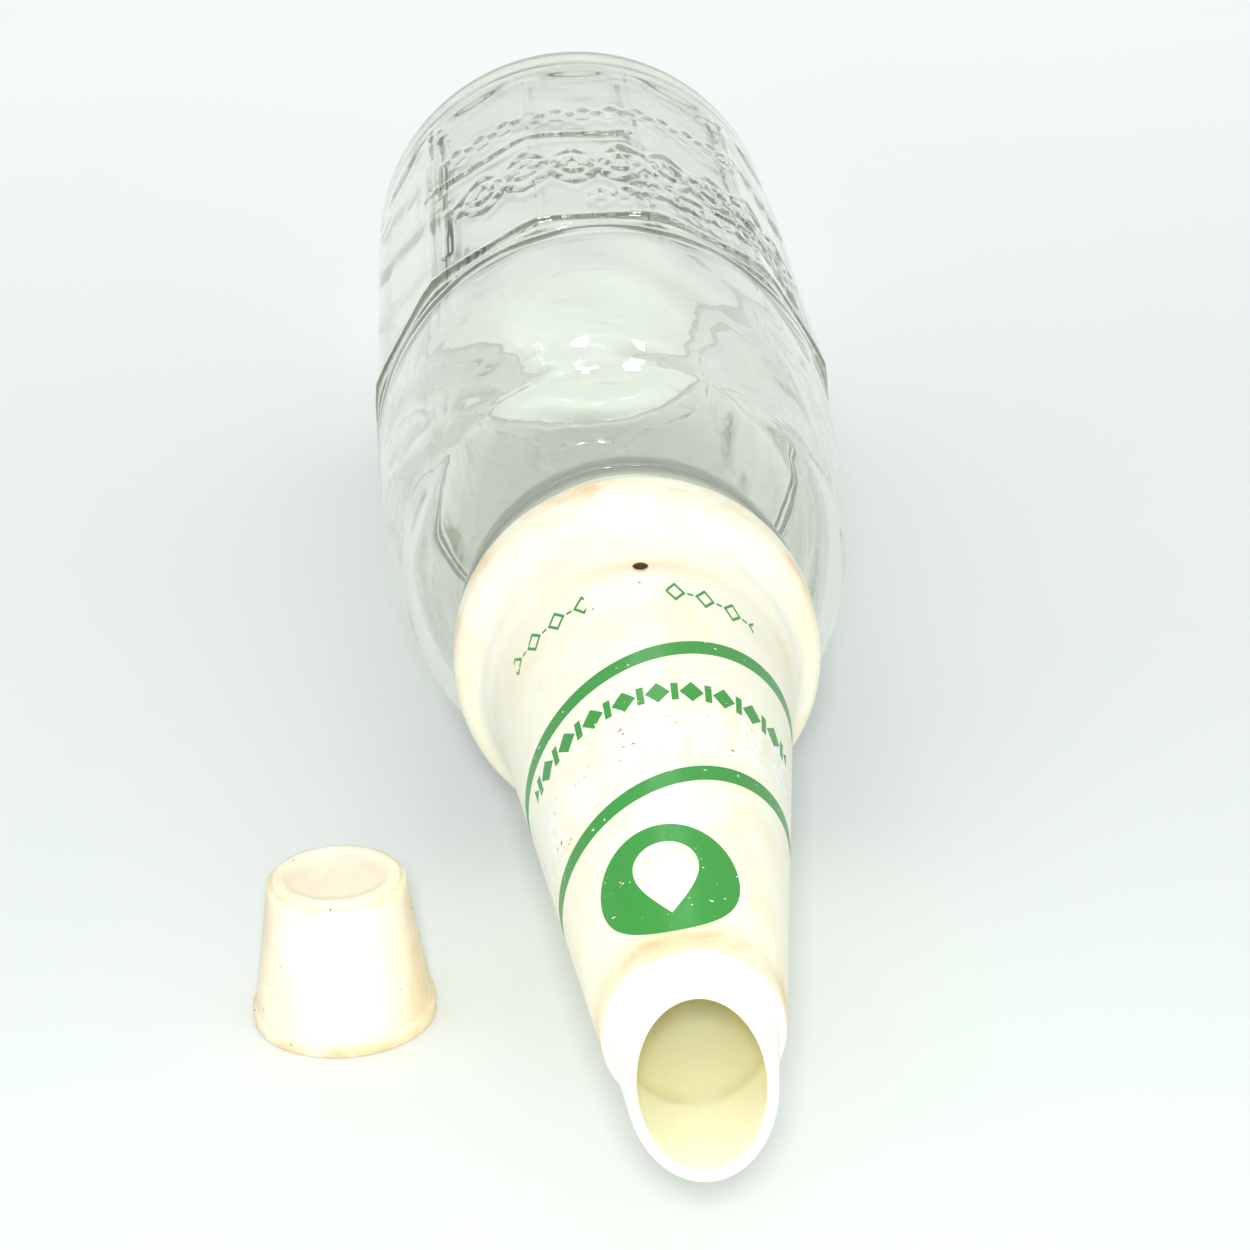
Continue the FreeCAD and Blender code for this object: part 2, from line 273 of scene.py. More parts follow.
glass = {
    # facets, shoulder and heel
    "facets": 12, "ridge": ringRadius + 0.95, "ridgeRound": 0.35, "ridgeHalf": 0.05,
    "facetStart": 122.5, "facetEnd": 226.5, "shoulderBlend": 11.0, "shoulderDrop": 0.9,
    "heelLine": 230.0, "heelRound": 9.5, "heelFade": 236.0, "pushUp": 5.0, "pushUpArc": 118.0,
    "baseRing": 34.0,
    # dome, collar, neck bead and mouth
    "domeJointY": 46.5, "domeJoint": 39.8, "domeArc": 466.0, "collarArc": 27.9, "footY": 29.0,
    "foot": 28.6, "beadEnd": 25.0, "beadStart": 19.5, "beadArc": 3.0, "neck": 23.6,
    "neckRound": 1.2, "mouth": 19.5, "lipRound": 1.0,
    # the inside; the pairs are radius and place along
    "wall": 3.8, "floor": 8.0, "innerCorner": 9.0, "throat": (25.4, 33.0), "throatArc": 16.0,
    "innerDome": (36.1, 48.5), "innerDomeEnd": 118.5, "innerRidgeRound": 0.7,
    "insideFollows": 0.88,
    # unevenness: height, length and seed of its waves, and where it fades in and out
    "insideWaves": (0.55, 95.0, 8), "outsideWaves": (0.14, 70.0, 3),
    "outsideFade": (34, 60), "outsideStop": 104, "insideFade": (36, 62), "insideStop": (9, 22),
    "flatsFade": (96, 132),
    # place, height and half width of the two beads round the shoulder and of the groove by the neck
    "beads": ((121.6, 0.34, 1.9), (116.2, 0.26, 2.0), (27.0, -0.6, 2.2)),
    "thread": {"pitch": 5.0, "start": 3.5, "turns": 1.6, "width": 2.2, "height": 1.3},
    # columns lie closer, in degrees, under the raised rows
    "denseFrom": -52.5, "denseTo": 82.5, "denseStep": 0.75, "coarseStep": 2.5,
    # raised rows: count, first angle and step in degrees, place along, width, length, corners,
    # half stroke
    "raised": {
        "lozenges": (15, -36, 7.4, 197, 4.6, 7.6, 4, 1.3),
        "bigLozenges": (8, -29, 12.6, 158, 14.5, 25.0, 4, 1.8),
        "bigOvals": (8, -29, 12.6, 158, 6.0, 10.0, 14, 1.5),
        "smallOvals": (10, 2, 6.6, 136, 3.2, 6.0, 12, 1.2),
        "upperLine": (14, -41, 3.9, 181, 3.6, 0.2, 4, 1.6),
        "lowerLine": (9, 15, 4.6, 143.0, 4.0, 0.2, 4, 1.4),
        "endBars": (2, -46.5, 3.4, 193, 0.2, 24.0, 4, 1.4),
        "lowEndBars": (1, -40, 3.4, 146, 0.2, 30.0, 4, 1.6),
        "farEndBars": (1, 42, 3.4, 198, 0.2, 11.0, 4, 1.4),
    },
    "raisedHeight": 0.36, "crestShare": 0.42, "raisedRadius": ringRadius - 0.4,
    # the melt: grey-green shows where the way through it is long
    "ior": 1.52, "clear": "#FBFCF9", "scuff": "#BFC5BA", "shadow": "#F1F4F0",
    "deep": "#AEB08E", "density": 13.0, "haze": 0.12, "scuffShare": 0.5,
}


def facetRadius(angles, rounding):
    # twelve flats with rounded ridges between them; a flat lies at the top
    step = 2 * math.pi / glass["facets"]
    fromMiddle = np.abs((angles + step / 2) % step - step / 2)
    flat = glass["ridge"] * math.cos(step / 2) / np.cos(fromMiddle)
    return flat - rounding * np.exp(-((step / 2 - fromMiddle) / glass["ridgeHalf"]) ** 2)


def makeGlass():
    g = glass
    dense = np.arange(g["denseFrom"], g["denseTo"] - 0.01, g["denseStep"])
    coarse = np.arange(g["denseTo"], g["denseFrom"] + 359.99, g["coarseStep"])
    angles = np.radians(np.concatenate([dense, coarse]))[None, :]
    heel, inside = g["heelRound"], ringRadius - g["wall"]
    outer = outline([
        (0, baseEnd - g["pushUp"]),
        (g["baseRing"], baseEnd, -g["pushUpArc"], 4.0),
        (ringRadius - heel, baseEnd),
        (ringRadius, baseEnd - heel, heel, 1.2),
        (ringRadius, g["heelFade"], 0, 2.2),
        (ringRadius, g["facetEnd"] - 1, 0, 0.9),
        (ringRadius, g["facetStart"], 0, 0.95),
        (ringRadius - g["shoulderDrop"], g["facetStart"] - g["shoulderBlend"], 0, 0.65),
        (g["domeJoint"], g["domeJointY"], g["domeArc"], 3.0),
        (g["foot"], g["footY"], g["collarArc"], 1.1),
        (g["foot"], g["beadEnd"], 0, 1.0),
        (g["foot"], g["beadStart"], g["beadArc"], 0.8),
        (g["neck"], g["beadStart"], 0, 1.2),
        (g["neck"], g["neckRound"], 0, 0.7),
        (g["neck"] - g["neckRound"], 0, g["neckRound"], 0.4),
        (g["mouth"] + g["lipRound"], 0, 0, 1.0),
        (g["mouth"], g["lipRound"], g["lipRound"], 0.4),
    ], 1.5)
    inner = outline([
        (g["mouth"], g["lipRound"]),
        (g["mouth"], g["beadStart"], 0, 3.0),
        (*g["throat"], g["throatArc"], 1.6),
        (*g["innerDome"], g["wall"] - g["collarArc"], 1.8),
        (inside, g["innerDomeEnd"], g["wall"] - g["domeArc"], 3.0),
        (inside, baseEnd - g["floor"] - g["innerCorner"], 0, 4.0),
        (inside - g["innerCorner"], baseEnd - g["floor"], -g["innerCorner"], 1.6),
        (0, baseEnd - g["floor"], 0, 5.0),
    ], 2.0)[1:]
    path = np.concatenate([outer, inner])
    radius = path[:, :1] + 0 * angles
    along = path[:, 1:] + 0 * angles
    outside = (np.arange(len(path)) < len(outer))[:, None]
    # the flats end in sloping crescents at the heel and fade slowly into the round shoulder
    flats = facetRadius(angles, g["ridgeRound"]) - ringRadius
    share = easeBetween(g["heelLine"], g["facetEnd"], along) \
        * easeBetween(g["facetStart"] - g["shoulderBlend"], g["facetStart"], along)
    radius = radius + np.where(outside, share * flats, 0)
    for place, height, half in g["beads"]:
        near = np.clip(1 - np.abs(along - place) / half, 0, 1)
        radius = radius + np.where(outside, height * near * near * (3 - 2 * near), 0)
    onNeck = outside & (along < g["beadStart"] - 0.5) & (path[:, :1] > g["neck"] - 0.1)
    radius = radius + np.where(onNeck, screwRidge(along, angles, g["thread"]), 0)
    height, length, seed = g["outsideWaves"]
    domeShare = easeBetween(*g["outsideFade"], along) \
        * easeBetween(g["facetStart"], g["outsideStop"], along)
    swell = height * domeShare * waves(along, angles, seed, length)
    radius = radius + np.where(outside, swell, 0)
    # the inside follows the flats softly and is as uneven as pressed glass is
    height, length, seed = g["insideWaves"]
    stop, full = g["insideStop"]
    insideShare = easeBetween(*g["insideFade"], along) \
        * easeBetween(baseEnd - stop, baseEnd - full, along)
    flats = facetRadius(angles, g["innerRidgeRound"]) - ringRadius
    follow = g["insideFollows"] * flats * easeBetween(*g["flatsFade"], along)
    unevenness = height * waves(along, angles, seed, length)
    onAxis = path[:, :1] == 0
    radius = np.where(outside | onAxis, radius, radius + insideShare * (unevenness + follow))
    return skin("glassBottle", radius, along, angles, axis, closed=False)


def raisedRowTree():
    # raises the skin where it lies near a row of small outlines, which are repeated round the axis
    tree = bpy.data.node_groups.new("raisedRow", "GeometryNodeTree")
    tree.is_modifier = True
    sockets = (
        ("Geometry", "Geometry"), ("Count", "Int"), ("First Angle", "Float"),
        ("Angle Step", "Float"), ("Along", "Float"), ("Radius", "Float"), ("Across", "Float"),
        ("Length", "Float"), ("Corners", "Int"), ("Stroke", "Float"), ("Crest", "Float"),
        ("Height", "Float"), ("Axis", "Vector"), ("Material", "Material"),
    )
    for name, kind in sockets:
        tree.interface.new_socket(name, in_out="INPUT", socket_type=f"NodeSocket{kind}")
    tree.interface.new_socket(
        "Geometry", in_out="OUTPUT", socket_type="NodeSocketGeometry")
    given = addNode(tree, "NodeGroupInput").outputs
    index = addNode(tree, "GeometryNodeInputIndex")
    turned = addNode(tree, "ShaderNodeMath", {"operation": "MULTIPLY_ADD"}, {
        0: index.outputs[0], 1: given["Angle Step"], 2: given["First Angle"]})
    sine = addNode(tree, "ShaderNodeMath", {"operation": "SINE"}, {0: turned.outputs[0]})
    cosine = addNode(tree, "ShaderNodeMath", {"operation": "COSINE"}, {0: turned.outputs[0]})
    outward = addNode(tree, "ShaderNodeCombineXYZ", {}, {0: sine.outputs[0], 2: cosine.outputs[0]})
    reach = addNode(tree, "ShaderNodeVectorMath", {"operation": "SCALE"}, {
        0: outward.outputs[0], "Scale": given["Radius"]})
    ahead = addNode(tree, "ShaderNodeCombineXYZ", {}, {1: given["Along"]})
    moved = addNode(tree, "ShaderNodeVectorMath", {"operation": "ADD"}, {
        0: reach.outputs[0], 1: ahead.outputs[0]})
    placed = addNode(tree, "ShaderNodeVectorMath", {"operation": "ADD"}, {
        0: moved.outputs[0], 1: given["Axis"]})
    line = addNode(tree, "GeometryNodeMeshLine", {}, {"Count": given["Count"]})
    spots = addNode(tree, "GeometryNodeSetPosition", {}, {
        "Geometry": line.outputs[0], "Position": placed.outputs[0]})
    shape = addNode(tree, "GeometryNodeMeshCircle", {}, {
        "Vertices": given["Corners"], "Radius": 0.5})
    turn = addNode(tree, "ShaderNodeCombineXYZ", {}, {1: turned.outputs[0]})
    size = addNode(tree, "ShaderNodeCombineXYZ", {}, {
        0: given["Across"], 1: given["Length"], 2: 1.0})
    copies = addNode(tree, "GeometryNodeInstanceOnPoints", {}, {
        "Points": spots.outputs[0], "Instance": shape.outputs[0], "Rotation": turn.outputs[0],
        "Scale": size.outputs[0]})
    wires = addNode(tree, "GeometryNodeRealizeInstances", {}, {0: copies.outputs[0]})
    near = addNode(tree, "GeometryNodeProximity", {"target_element": "EDGES"}, {
        0: wires.outputs[0]})
    rise = addNode(tree, "ShaderNodeMapRange", {"interpolation_type": "SMOOTHSTEP"}, {
        "Value": near.outputs["Distance"], "From Min": given["Stroke"], "From Max": given["Crest"],
        "To Min": 0.0, "To Max": given["Height"]})
    place = addNode(tree, "GeometryNodeInputPosition")
    fromAxis = addNode(tree, "ShaderNodeVectorMath", {"operation": "SUBTRACT"}, {
        0: place.outputs[0], 1: given["Axis"]})
    level = addNode(tree, "ShaderNodeVectorMath", {"operation": "MULTIPLY"}, {
        0: fromAxis.outputs[0], 1: (1.0, 0.0, 1.0)})
    unit = addNode(tree, "ShaderNodeVectorMath", {"operation": "NORMALIZE"}, {0: level.outputs[0]})
    lift = addNode(tree, "ShaderNodeVectorMath", {"operation": "SCALE"}, {
        0: unit.outputs[0], "Scale": rise.outputs["Result"]})
    raised = addNode(tree, "GeometryNodeSetPosition", {}, {
        "Geometry": given["Geometry"], "Offset": lift.outputs[0]})
    whole = addNode(tree, "GeometryNodeRealizeInstances", {}, {0: raised.outputs[0]})
    coated = addNode(tree, "GeometryNodeSetMaterial", {}, {
        0: whole.outputs[0], "Material": given["Material"]})
    addNode(tree, "NodeGroupOutput", {}, {0: coated.outputs[0]})
    return tree


def addRaisedRows(piece, material):
    tree = raisedRowTree()
    names = {socket.name: socket.identifier for socket in tree.interface.items_tree
             if socket.in_out == "INPUT"}
    for row, sizes in glass["raised"].items():
        count, first, step, along, across, length, corners, stroke = sizes
        raised = piece.modifiers.new(row, "NODES")
        raised.node_group = tree
        values = {
            "Count": count, "First Angle": math.radians(first), "Angle Step": math.radians(step),
            "Along": along * mm, "Radius": glass["raisedRadius"] * mm, "Across": across * mm,
            "Length": length * mm, "Corners": corners, "Stroke": stroke * mm,
            "Crest": stroke * glass["crestShare"] * mm, "Height": glass["raisedHeight"] * mm,
            "Axis": tuple(axis), "Material": material,
        }
        for name, value in values.items():
            raised[names[name]] = value
    bakeModifiers(piece)


def sodaLimeGlass():
    # pressed soda-lime glass: nearly clear, grey-green where the way through it is long, with a
    # dull film of handling marks
    g = glass
    material, tree = newMaterial("pressedSodaLimeGlass")
    place = addNode(tree, "ShaderNodeTexCoord")
    inMm = addNode(tree, "ShaderNodeMapping", {}, {
        "Vector": place.outputs["Object"], "Scale": (1 / mm, 1 / mm, 1 / mm)})
    # marks about 11 mm long and 3 to 5 mm wide
    streaks = addNode(tree, "ShaderNodeMapping", {}, {
        "Vector": inMm.outputs[0], "Rotation": (0.2, 0.1, 0.5), "Scale": (0.09, 0.3, 0.2)})
    film = addNode(tree, "ShaderNodeTexNoise", {}, {
        "Vector": streaks.outputs[0], "Scale": 1.0, "Detail": 8.0, "Roughness": 0.68,
        "Distortion": 0.4})
    haze = addNode(tree, "ShaderNodeMapRange", {}, {
        "Value": film.outputs["Fac"], "From Min": 0.56, "From Max": 0.76, "To Min": 0.0,
        "To Max": g["haze"]})
    scuffed = addNode(tree, "ShaderNodeMapRange", {}, {
        "Value": film.outputs["Fac"], "From Min": 0.62, "From Max": 0.7, "To Min": 0.0,
        "To Max": g["scuffShare"]})
    tint = addNode(tree, "ShaderNodeMix", {"data_type": "RGBA"}, {
        "Factor": scuffed.outputs["Result"], "A": linear(g["clear"]), "B": linear(g["scuff"])})
    # shallow pits 20 mm across, from the mould
    pits = addNode(tree, "ShaderNodeTexNoise", {}, {
        "Vector": inMm.outputs[0], "Scale": 0.05, "Detail": 2.0})
    bump = addNode(tree, "ShaderNodeBump", {}, {
        "Height": pits.outputs["Fac"], "Strength": 0.3, "Distance": 0.5 * mm})
    body = addNode(tree, "ShaderNodeBsdfPrincipled", {}, {
        "Base Color": tint.outputs["Result"], "Roughness": haze.outputs["Result"],
        "IOR": g["ior"], "Transmission Weight": 1.0, "Normal": bump.outputs["Normal"]})
    # a shadow ray goes straight through, so the floor under the glass stays light
    clear = addNode(tree, "ShaderNodeBsdfTransparent", {}, {"Color": linear(g["shadow"])})
    light = addNode(tree, "ShaderNodeLightPath")
    shown = addNode(tree, "ShaderNodeMixShader", {}, {
        0: light.outputs["Is Shadow Ray"], 1: body.outputs[0], 2: clear.outputs[0]})
    depth = addNode(tree, "ShaderNodeVolumeAbsorption", {}, {
        "Color": linear(g["deep"]), "Density": g["density"]})
    addNode(tree, "ShaderNodeOutputMaterial", {}, {
        "Surface": shown.outputs[0], "Volume": depth.outputs[0]})
    return material


pourer = {
    "skirt": 31.2, "skirtTop": 8.5, "flareY": 1.5, "flare": 28.6, "crownArc": 10.7,
    "flareArc": 19.7, "coneTop": -9.5, "cone": 24.7, "seatY": -118.5, "seat": 12.6, "step": 0.7,
    "noseY": -145.0, "nose": 8.9, "wall": 2.2, "tipWall": 1.55, "bore": 25.6, "ledge": -2.0,
    "edgeRound": 1.6, "cutMid": -134.0, "cutSlope": 0.75, "rimRound": 0.55, "ventRadius": 1.15,
    "ventDepth": 8.0, "seam": 0.05, "seamHalf": 0.006, "segments": 240,
    "thread": {"pitch": 5.0, "start": 1.0, "turns": 2.0, "width": 2.2, "height": -1.2},
    # the cone's skin for the print: its taper, its radius at the glass mouth and how deep it goes
    "skinTaper": 0.111, "skinAtMouth": 25.75, "skinDepth": 1.35,
}


def makePourer():
    p = pourer
    angles = roundAngles(p["segments"])
    edge = p["edgeRound"]
    outer = outline([
        (p["bore"] + 0.5, skirtEnd),
        (p["skirt"] - edge, skirtEnd, 0, 0.9),
        (p["skirt"], skirtEnd - edge, edge, 0.4),
        (p["skirt"], p["skirtTop"], 0, 1.2),
        (p["flare"], p["flareY"], p["crownArc"], 0.8),
        (p["cone"], p["coneTop"], -p["flareArc"], 0.8),
        (p["seat"] + 0.15, p["seatY"] + 0.5, 0, 2.2),
        (p["seat"] - 0.15, p["seatY"], 0.6, 0.2),
        (p["seat"] - p["step"], p["seatY"], 0, 0.3),
    ], 1.0)
    inner = outline([
        (p["seat"] - p["wall"], p["seatY"]),
        (p["cone"] - p["wall"], p["coneTop"], 0, 5.0),
        (p["cone"] - p["wall"], p["ledge"], 0, 1.5),
        (p["bore"], p["ledge"], 0, 1.0),
        (p["bore"], skirtEnd - 0.5, 0, 0.45),
    ], 1.0)
    # the tip: rows run from the seat to the slanted cut, turn over its rim and run back inside
    tip = p["seat"] - p["step"]
    taper = (tip - p["nose"]) / (p["seatY"] - p["noseY"])
    cut = p["cutMid"] + 0 * angles
    for _ in range(12):  # each pass brings the rim nearer to the cut
        cut = p["cutMid"] + p["cutSlope"] * np.cos(angles) * (tip + taper * (cut - p["seatY"]))
    wall, bend = p["tipWall"], p["rimRound"]
    quarter = np.linspace(0, math.pi / 2, 5)
    rows = [(t, 0.0, 0.0) for t in np.linspace(0.06, 0.9, 12)]
    rows += [(1, bend * (1 - math.sin(a)), bend * (1 - math.cos(a))) for a in quarter]
    rows += [(1, bend * (1 - math.cos(a)), wall - bend * (1 - math.sin(a))) for a in quarter]
    rows += [(t, 0.0, wall + (1 - t) * 0.15) for t in np.linspace(0.92, 0.04, 12)]
    tipAlong = [p["seatY"] + t * (cut + back - p["seatY"]) for t, back, deep in rows]
    tipRadius = [tip + taper * (y - p["seatY"]) - row[2] for y, row in zip(tipAlong, rows)]
    radius = np.concatenate([outer[:, :1] + 0 * angles, *tipRadius, inner[:, :1] + 0 * angles])
    along = np.concatenate([outer[:, 1:] + 0 * angles, *tipAlong, inner[:, 1:] + 0 * angles])
    threaded = (along > p["ledge"] + 0.6) & (along < skirtEnd - 0.6)
    inBore = (np.abs(radius - p["bore"]) < 0.01) & threaded
    radius = radius + np.where(inBore, screwRidge(along, angles, p["thread"]), 0)
    # the mould's parting line down both sides
    fromSeam = np.abs(np.abs(np.sin(angles)) - 1) * radius
    onOutside = (np.arange(len(radius)) < len(outer) - 4)[:, None]
    seam = p["seam"] * np.exp(-fromSeam / p["seamHalf"]) * onOutside
    piece = skin("pourerShell", radius + seam, along, angles, axis)
    drillVent(piece)
    return piece


def drillVent(piece):
    # the small air hole on the upper side, where the cone meets the flange
    p = pourer
    radius = p["ventRadius"] * mm
    place = axis + Vector((0, p["coneTop"] * mm, (p["cone"] - 1) * mm))
    work = bmesh.new()
    bmesh.ops.create_cone(work, cap_ends=True, segments=28, radius1=radius, radius2=radius,
                          depth=p["ventDepth"] * mm)
    bmesh.ops.translate(work, verts=work.verts, vec=place)
    drill = bpy.data.meshes.new("drill")
    work.to_mesh(drill)
    work.free()
    cutter = bpy.data.objects.new("drill", drill)
    bpy.context.scene.collection.objects.link(cutter)
    hole = piece.modifiers.new("vent", "BOOLEAN")
    hole.operation = "DIFFERENCE"
    hole.solver = "EXACT"
    hole.object = cutter
    bakeModifiers(piece)
    bpy.data.objects.remove(cutter)


plastic = {
    # inside is painted lighter than the ivory: painted light in the bore, standing for light that
    # comes in at the mouth
    "ivory": "#F8F1D8", "tip": "#FFFCEA", "inside": "#FFF6D2", "amber": "#E9C387",
    "deepAmber": "#D29B52", "ghost": "#FFFFFA", "green": "#1E8C24", "red": "#B02A1C",
    # hole is painted shade for the vent's narrow bore
    "hole": "#5A4125", "speck": "#6B5A3A",
    # noise to the millimetre: blotches 14 mm across, wear 1.1 mm and the skin's grain 0.6 mm
    "blotches": 0.07, "wear": 0.9, "grain": 1.6, "grainDepth": 0.08, "roughness": (0.28, 0.4),
    # how much light goes in, how deep in millimetres and in which colour
    "pourerLetsIn": 0.8, "capLetsIn": 0.6, "lightDepth": 5.0, "lightColour": (1.0, 0.94, 0.6),
    "ior": 1.51,
}
# the print and the stains: places are millimetres along from the glass mouth, turns are in
# radians, and a radius turns an angle into millimetres round the cone
ink = {
    "slope": 0.45, "upperRing": -37.6, "lowerRing": -74.0, "ringHalf": 1.95,
    "disc": -99.3, "discTurn": 0.14, "discAcross": 1.376, "discHalf": 13.3, "dropHalf": 0.4,
    "bold": -49.6, "boldSlope": -0.2, "boldHalf": 2.9, "boldRadius": 19.6, "boldCell": 2.6,
    "boldWide": 1.9, "barFrom": 2.05, "barTall": 0.85, "boldTurn": 1.3,
    "fine": -17.5, "fineHalf": 3.0, "fineRadius": 23.4, "fineCell": 2.5, "fineWide": 1.75,
    "openMiddle": 0.82, "openHalf": 0.18, "dashFrom": 2.0, "dashHalf": 0.36, "fineTurn": 0.13,
    "groupTurn": 0.62, "groupHalf": 0.34, "gapTurn": 0.24, "gapHalf": 4.0,
    "worn": -62.0, "wornHalf": 6.0, "wornRadius": 18.5, "wornCell": 3.6, "wornWide": 2.5,
    "wornShare": 0.6, "fleckHalf": 7.5, "holds": 0.69, "rubsOff": 0.52, "flecks": 0.705,
    "seatStain": -114.6, "seatSpread": 3.6, "tipFrom": -118.4, "ventStain": -9.0,
    "holeSquare": 1.7,
}


def agedPolyethylene(name, centre):
    # low-density polyethylene gone ivory: waxy, lets a little light in, and holds amber oil stains
    material, tree = newMaterial(name)
    place = addNode(tree, "ShaderNodeTexCoord")
    centred = addNode(tree, "ShaderNodeMapping", {}, {
        "Vector": place.outputs["Object"], "Location": tuple(-v / mm for v in centre),
        "Scale": (1 / mm, 1 / mm, 1 / mm)}).outputs[0]
    apart = addNode(tree, "ShaderNodeSeparateXYZ", {}, {0: centred})
    made = dict(zip("xyz", apart.outputs))
    blotches = addNode(tree, "ShaderNodeTexNoise", {}, {
        "Vector": centred, "Scale": plastic["blotches"], "Detail": 6.0, "Roughness": 0.6,
        "Distortion": 0.5})
    wear = addNode(tree, "ShaderNodeTexNoise", {}, {
        "Vector": centred, "Scale": plastic["wear"], "Detail": 6.0})
    made.update(blotch=blotches.outputs["Fac"], wear=wear.outputs["Fac"])
    return material, tree, centred, made


def finishPolyethylene(tree, centred, colour, letsIn):
    smooth, rough = plastic["roughness"]
    grain = addNode(tree, "ShaderNodeTexNoise", {}, {
        "Vector": centred, "Scale": plastic["grain"], "Detail": 4.0})
    dull = addNode(tree, "ShaderNodeMapRange", {}, {
        "Value": grain.outputs["Fac"], "From Min": 0.3, "From Max": 0.7, "To Min": smooth,
        "To Max": rough})
    bump = addNode(tree, "ShaderNodeBump", {}, {
        "Height": grain.outputs["Fac"], "Strength": 0.12, "Distance": plastic["grainDepth"] * mm})
    body = addNode(tree, "ShaderNodeBsdfPrincipled", {}, {
        "Base Color": colour, "Roughness": dull.outputs["Result"], "IOR": plastic["ior"],
        "Subsurface Weight": letsIn, "Subsurface Radius": plastic["lightColour"],
        "Subsurface Scale": plastic["lightDepth"] * mm, "Normal": bump.outputs["Normal"]})
    addNode(tree, "ShaderNodeOutputMaterial", {}, {"Surface": body.outputs[0]})


